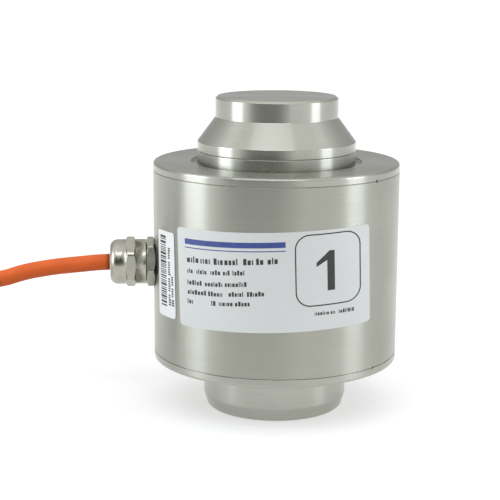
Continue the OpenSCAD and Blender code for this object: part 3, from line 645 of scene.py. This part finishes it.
def onLabel(x, y, lift, sheet):
    # A point x across and y up the label, turned by its slant, then laid on the round wall straight behind it:
    # angle = place of the label + asin(x / r)
    slant = math.radians(sheet["tilt"])
    across, up = x * math.cos(slant) - y * math.sin(slant), x * math.sin(slant) + y * math.cos(slant)
    a = math.radians(sheet["at"]) + np.arcsin(across / (shell["r"] + sheet["glue"] + sheet["thick"]))
    r = shell["r"] + lift
    return np.stack([r * np.cos(a), r * np.sin(a), sheet["z"] + up], -1)


def film(name, sheet, material):
    # A closed sheet: rows from bottom to top, each as wide as the rounded rectangle is there
    w, h, c = sheet["w"] / 2, sheet["h"] / 2, sheet["round"]
    arc = c * (1 - np.cos(np.linspace(0, np.pi / 2, 7)))
    y = np.concatenate([-h + arc, np.linspace(-h + c, h - c, 9)[1:-1], (h - arc)[::-1]])
    beyond = np.clip(np.abs(y) - (h - c), 0, c)
    reach = w - c + np.sqrt(np.maximum(c * c - beyond ** 2, 0))
    x = np.linspace(-1, 1, 65)[:, None] * reach[None]
    topSide = onLabel(x, y[None] + 0 * x, sheet["glue"] + sheet["thick"], sheet)
    underSide = onLabel(x, y[None] + 0 * x, sheet["glue"], sheet)
    nu, nv = x.shape
    u, v = np.meshgrid(np.arange(nu - 1), np.arange(nv - 1), indexing="ij")
    k = (u * nv + v).ravel()
    upper = np.stack([k, k + nv, k + nv + 1, k + 1], -1)
    lower = upper[:, ::-1] + nu * nv
    rim = np.concatenate([np.arange(nu) * nv, (nu - 1) * nv + np.arange(1, nv),
                          np.arange(nu - 2, -1, -1) * nv + nv - 1, np.arange(nv - 2, 0, -1)])
    after = np.roll(rim, -1)
    sides = np.stack([rim, rim + nu * nv, after + nu * nv, after], -1)
    points = np.concatenate([topSide.reshape(-1, 3), underSide.reshape(-1, 3)])
    piece = meshOf(name, points, np.concatenate([upper, lower, sides]).tolist(), material)
    piece.data.set_sharp_from_angle(angle=math.radians(40))
    return piece


def printed(name, blocks, sheet, material, columns=12, lift=printLift):
    # Each block has four corners, lower left first and anticlockwise. It is cut into columns, so that it follows
    # the round wall, and raised from just inside the film to the print's height.
    blocks = np.array(blocks, float)
    t = np.linspace(0, 1, columns + 1)[None, :, None]
    below = blocks[:, None, 0] * (1 - t) + blocks[:, None, 1] * t
    above = blocks[:, None, 3] * (1 - t) + blocks[:, None, 2] * t
    flat = np.stack([below, above], 2)
    base = sheet["glue"] + sheet["thick"]
    layers = [onLabel(flat[..., 0], flat[..., 1], base + z, sheet) for z in (-printSink, lift)]
    points = np.stack(layers, 3)
    n = columns + 1
    number = np.arange(len(blocks) * n * 4).reshape(len(blocks), n, 2, 2)
    a, b = number[:, :-1], number[:, 1:]
    quads = [np.stack(q, -1).reshape(-1, 4) for q in (
        (a[:, :, 0, 1], b[:, :, 0, 1], b[:, :, 1, 1], a[:, :, 1, 1]),
        (a[:, :, 1, 0], b[:, :, 1, 0], b[:, :, 0, 0], a[:, :, 0, 0]),
        (a[:, :, 0, 0], b[:, :, 0, 0], b[:, :, 0, 1], a[:, :, 0, 1]),
        (a[:, :, 1, 1], b[:, :, 1, 1], b[:, :, 1, 0], a[:, :, 1, 0]),
        (number[:, 0, 0, 0], number[:, 0, 0, 1], number[:, 0, 1, 1], number[:, 0, 1, 0]),
        (number[:, -1, 1, 0], number[:, -1, 1, 1], number[:, -1, 0, 1], number[:, -1, 0, 0]))]
    return meshOf(name, points.reshape(-1, 3), np.concatenate(quads).tolist(), material, smooth=False)


def bar(x0, x1, y0, y1, rise=0.0):  # an upright block, which climbs by rise on its way across
    return [(x0, y0), (x1, y0 + rise), (x1, y1 + rise), (x0, y1)]


ratingFilm = film("rating_label_film", labelSheet, filmSilver)
stand(ratingFilm, "rating_label_film", "rating_label")
codeFilm = film("code_label_film", codeSheet, filmWhite)
stand(codeFilm, "code_label_film", "code_label")

badge = dict(centre=(21.35, 4.2), w=25.1, h=28.0, round=5.6, line=0.5)


def frameLine():  # a rounded rectangle's line, as one block for each step round it
    cx, cy = badge["centre"]
    rings = []
    for inset in (-badge["line"] / 2, badge["line"] / 2):
        w, h = badge["w"] / 2 - inset, badge["h"] / 2 - inset
        t = np.linspace(0, np.pi / 2, 13)
        r = badge["round"] - inset
        quarters = [np.stack([cx + sx * (w - r) + r * np.cos(t + turn), cy + sy * (h - r) + r * np.sin(t + turn)], -1)
                    for sx, sy, turn in ((1, 1, 0), (-1, 1, np.pi / 2), (-1, -1, np.pi), (1, -1, 1.5 * np.pi))]
        rings.append(np.vstack(quarters))
    outside, inside = rings
    return [[o0, o1, i1, i0] for o0, o1, i1, i0 in
            zip(outside, np.roll(outside, -1, 0), np.roll(inside, -1, 0), inside)]


digit = [bar(20.95, 23.85, -4.2, 8.3), [(20.95, 8.3), (23.85, 8.3), (23.85, 11.6), (21.9, 11.6)],
         [(16.8, 5.5), (20.95, 7.9), (21.9, 11.6), (16.8, 7.1)]]

rows = dict(
    bold=(2.5, 0.055, [(-33.9, 6.2, 4.4), (-28.3, 6.4, 4.6), (-23.0, 6.5, 3.4), (-18.7, 6.7, 6.2), (-11.3, 7.0, 4.2),
                       (-6.3, 7.2, 3.4), (-1.9, 7.4, 4.0)]),
    plain=(1.9, 0.05, [(-33.9, 1.9, 3.0), (-30.1, 2.1, 4.8), (-24.4, 2.4, 4.2), (-19.4, 2.6, 3.0), (-15.6, 2.8, 4.9),
                       (-34.0, -2.7, 6.4), (-26.8, -2.4, 7.2), (-18.8, -1.9, 8.2),
                       (-34.0, -6.5, 7.6), (-25.6, -6.2, 6.0), (-17.4, -5.7, 6.4), (-10.2, -5.4, 6.6),
                       (-34.2, -10.3, 3.0), (-24.4, -9.9, 2.2), (-21.4, -9.7, 5.6), (-15.0, -9.4, 6.3)]),
    small=(1.5, -0.02, [(15.8, -13.7, 5.4), (22.0, -13.8, 2.2), (25.2, -13.9, 6.5)]),
)


def wordBlocks():  # each word is a row of close upright blocks, seeded in width and height, with a low line between
    draw = np.random.default_rng(3)
    blocks = []
    for height, slope, words in rows.values():
        for x, y, width in words:
            at = x
            while at < x + width - 0.3 * height:
                wide = height * draw.choice([0.2, 0.42, 0.5])
                tall = height * draw.choice([0.74, 0.74, 1.0])
                rise = slope * (at - x)
                blocks.append(bar(at, at + wide, y + rise, y + rise + tall, wide * slope))
                at += wide + 0.17 * height
    return blocks


ratingPrint = printed("rating_label_print", frameLine() + digit + wordBlocks(), labelSheet, printBlack)
stand(ratingPrint, "rating_label_film")
stripes = [bar(-34.6, 5.1, 13.4, 15.6, 0.4), bar(-34.6, 5.1, 11.9, 12.3, 0.4)]
ratingStripes = printed("rating_label_stripes", stripes, labelSheet, printBlue, columns=24)
stand(ratingStripes, "rating_label_film")

code = dict(bars=30, x=(-4.6, 0.8), top=15.6, bottom=-13.2, textX=2.4, textTop=11.0, textBottom=-12.4, seed=5)


def codeBars():  # bars of seeded widths one above the other, and a column of small blocks beside them
    draw = np.random.default_rng(code["seed"])
    widths = draw.choice([0.35, 0.35, 0.6, 0.9], code["bars"])
    gaps = draw.choice([0.3, 0.35, 0.55], code["bars"])
    scale = (code["top"] - code["bottom"]) / (widths.sum() + gaps.sum() - gaps[-1])
    y = code["bottom"] + np.concatenate([[0], np.cumsum(widths + gaps)[:-1]]) * scale
    blocks = [bar(code["x"][0], code["x"][1], y0, y0 + w) for y0, w in zip(y, widths * scale)]
    letters = np.arange(code["textBottom"], code["textTop"], 0.95)
    wide = draw.choice([1.3, 1.3, 1.7], len(letters))
    blocks += [bar(code["textX"], code["textX"] + s, y0, y0 + 0.66)
               for i, (y0, s) in enumerate(zip(letters, wide)) if i % 7 != 5]
    blocks += [bar(code["textX"] + 2.3, code["textX"] + 2.3 + s, y0, y0 + 0.66)
               for i, (y0, s) in enumerate(zip(letters[:14], wide)) if i % 5 != 3]
    return blocks


codePrint = printed("code_label_print", codeBars(), codeSheet, printBlack)
stand(codePrint, "code_label_film")
print("labels ready")

# CAD nodes that keep their own shape get their finishes

glassEpoxy = moulded("green_solder_mask", "#1C5A38", 0.3, grain=0.6, relief=0.01, tone=0.15, cloud=3)
finishes = dict(
    housing_tube=housingSteel,
    gauge_front=moulded("polyimide_gauge_film", "#B87A2C", 0.3, grain=0.3, tone=0.12, cloud=1.2),
    ribbon_front=moulded("polyimide_ribbon", "#B5651E", 0.3, grain=0.4, tone=0.1, cloud=2),
    circuit_board=glassEpoxy,
    board_screws=platedMetal("zinc_plated_screw", "#B4B6B8", 0.25),
    trim_resistors=moulded("glazed_resistor", "#16181A", 0.25, grain=0.2, tone=0.1, cloud=1),
    solder_pins=platedMetal("tinned_brass_pin", "#B79B5C", 0.28),
    core_red=moulded("red_core_insulation", "#A8241C", 0.45),
    core_black=moulded("black_core_insulation", "#1B1B1B", 0.45),
    core_green=moulded("green_core_insulation", "#1F6B34", 0.45),
    core_white=moulded("white_core_insulation", "#E4E2DC", 0.45),
    gland_claw=moulded("grey_nylon_claw", "#3A3B3C", 0.45),
    gland_seal=ringRubber,
    cable_inlet=orangeJacket,
)
for side in ("right", "back", "left"):
    finishes[f"gauge_{side}"] = finishes["gauge_front"]
    finishes[f"ribbon_{side}"] = finishes["ribbon_front"]
for name, material in finishes.items():
    nodes[name].data.materials.clear()
    nodes[name].data.materials.append(material)
print("finishes on the CAD nodes ready")
